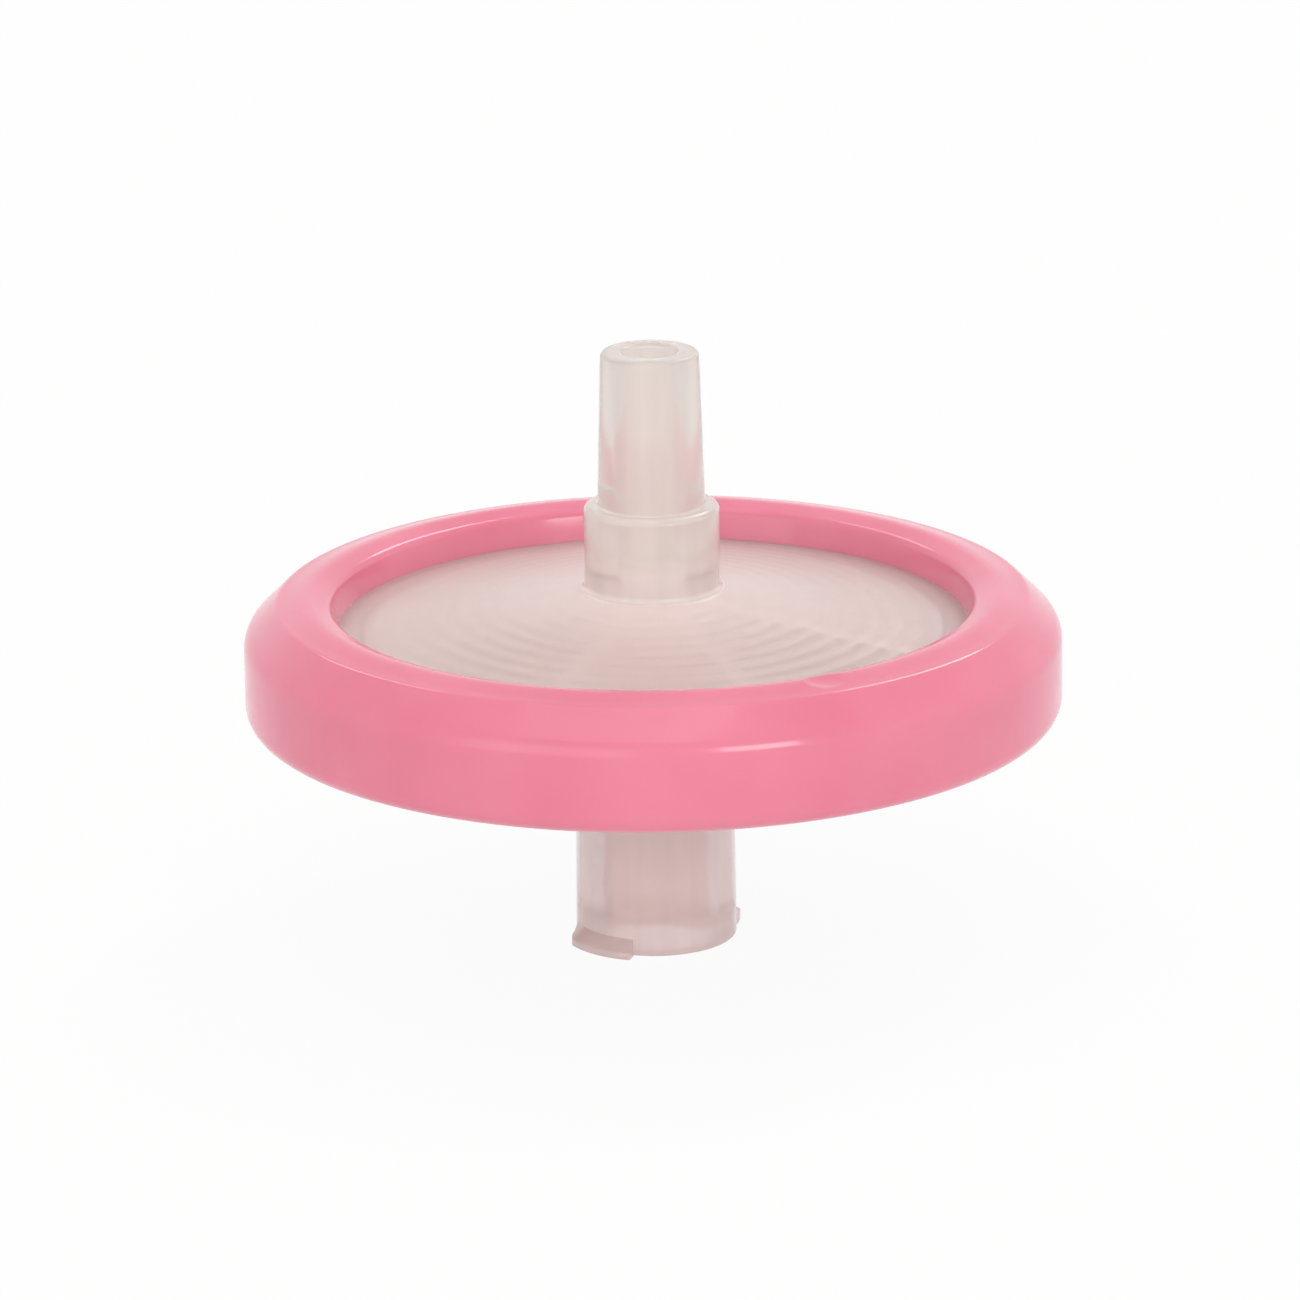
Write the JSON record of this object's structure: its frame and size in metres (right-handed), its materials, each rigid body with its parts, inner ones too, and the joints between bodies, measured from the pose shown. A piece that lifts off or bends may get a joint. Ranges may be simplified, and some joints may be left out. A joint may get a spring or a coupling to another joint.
{
  "type": "syringe filter",
  "caption": "Disposable syringe filter: a membrane between clear housing halves, a pink overmoulded sealing ring, a female Luer lock inlet and a male Luer slip outlet.",
  "frame": {"origin": "centre of the end face of the female Luer lock, on the axis", "axes": "+Z along the axis from the inlet to the tip of the outlet; the two lugs of the lock lie near the diagonal of -X,-Y and +X,+Y"},
  "size_m": [0.033, 0.033, 0.0245],
  "materials": {
    "inlet_clear": "clear, glossy polypropylene",
    "outlet_clear": "clear, glossy polypropylene",
    "membrane_white": "matte white microporous sheet",
    "ring_pink": "glossy, slightly translucent pink"
  },
  "bodies": {
    "root": {"inlet_housing": "inlet_clear", "membrane": "membrane_white", "outlet_housing": "outlet_clear", "overmould_ring": "ring_pink"}
  },
  "joints": []
}
